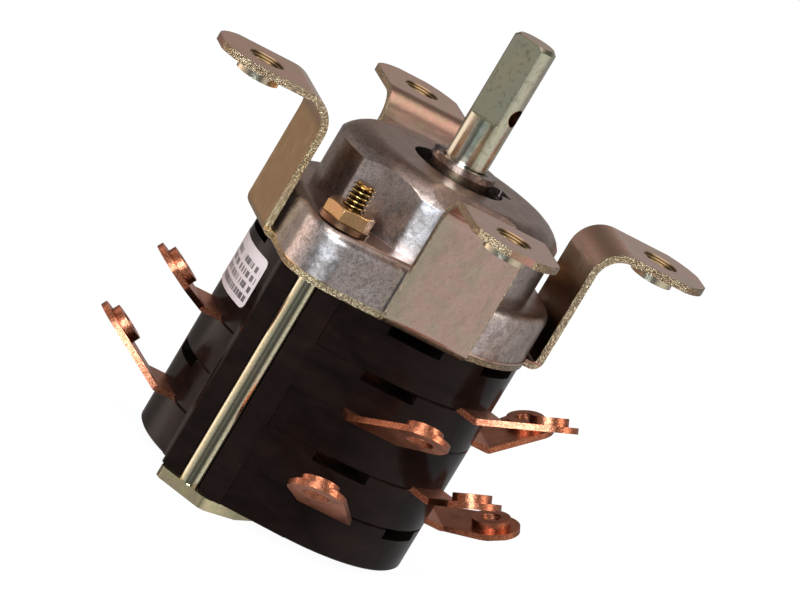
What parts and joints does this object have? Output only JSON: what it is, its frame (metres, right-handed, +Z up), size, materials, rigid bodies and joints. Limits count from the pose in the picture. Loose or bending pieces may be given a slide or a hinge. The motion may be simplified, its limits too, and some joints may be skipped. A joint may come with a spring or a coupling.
{
  "type": "rotary switch",
  "caption": "Heavy-duty rotary switch with stacked moulded decks, copper screw terminals, an index housing and a sheet-metal mounting spider.",
  "frame": {"origin": "point on the shaft axis level with the tops of the four mounting tabs", "axes": "+Z up the shaft towards the knob end; the four mounting arms lie along +X, -X, +Y and -Y; the tie rods stand on the diagonal from -X-Y to +X+Y"},
  "size_m": [0.1158, 0.1158, 0.1109],
  "materials": {
    "shaft_steel": "zinc-plated, fine drawn surface",
    "ring_steel": "oiled spring steel",
    "bush_bronze": "sintered bronze",
    "housing_zinc": "bright tumbled die casting",
    "inner_steel": "hardened steel, greased",
    "spider_steel": "yellow zinc plate with pink and green tints",
    "deck_moulding": "moulded black phenolic, glossy",
    "hub_moulding": "moulded dark phenolic",
    "terminal_copper": "bare stamped copper",
    "blade_copper": "bare stamped copper",
    "rod_steel": "yellow zinc plate",
    "nut_steel": "golden zinc plate",
    "washer_steel": "golden zinc plate",
    "bar_steel": "pale zinc plate",
    "label_paper": "coated paper sticker"
  },
  "bodies": {
    "base": {"index_housing": "housing_zinc", "shaft_bushing": "bush_bronze", "thrust_washer": "ring_steel", "detent_springs": "inner_steel", "mounting_spider": "spider_steel", "deck_1": "deck_moulding", "deck_2": "deck_moulding", "deck_3": "deck_moulding", "deck_4": "deck_moulding", "deck_5": "deck_moulding", "terminal_corner_upper": "terminal_copper", "terminal_left_upper": "terminal_copper", "terminal_front_upper": "terminal_copper", "terminal_right_upper": "terminal_copper", "terminal_corner_lower": "terminal_copper", "terminal_left_lower": "terminal_copper", "terminal_front_lower": "terminal_copper", "terminal_right_lower": "terminal_copper", "tie_rods": "rod_steel", "tie_nuts": "nut_steel", "lock_washers": "washer_steel", "retaining_bar": "bar_steel", "rating_label": "label_paper"},
    "rotor": {"shaft": "shaft_steel", "retaining_ring": "ring_steel", "detent_wheel": "inner_steel", "stop_disc": "inner_steel", "contact_hub_2": "hub_moulding", "contact_hub_3": "hub_moulding", "contact_hub_4": "hub_moulding", "contact_hub_5": "hub_moulding", "contact_blade_2": "blade_copper", "contact_blade_3": "blade_copper", "contact_blade_4": "blade_copper", "contact_blade_5": "blade_copper"},
    "roller_a": {"detent_roller_a": "inner_steel"},
    "roller_b": {"detent_roller_b": "inner_steel"}
  },
  "joints": [
    {"name": "shaft_turn", "type": "hinge", "parent": "base", "child": "rotor", "pos_m": [0, 0, 0], "axis": [0, 0, 1], "range_deg": [0, 90]},
    {"name": "roller_a_slide", "type": "slide", "parent": "base", "child": "roller_a", "axis": [1, 0, 0], "range_m": [-0.0018, 0]},
    {"name": "roller_b_slide", "type": "slide", "parent": "base", "child": "roller_b", "axis": [-1, 0, 0], "range_m": [-0.0018, 0]}
  ]
}
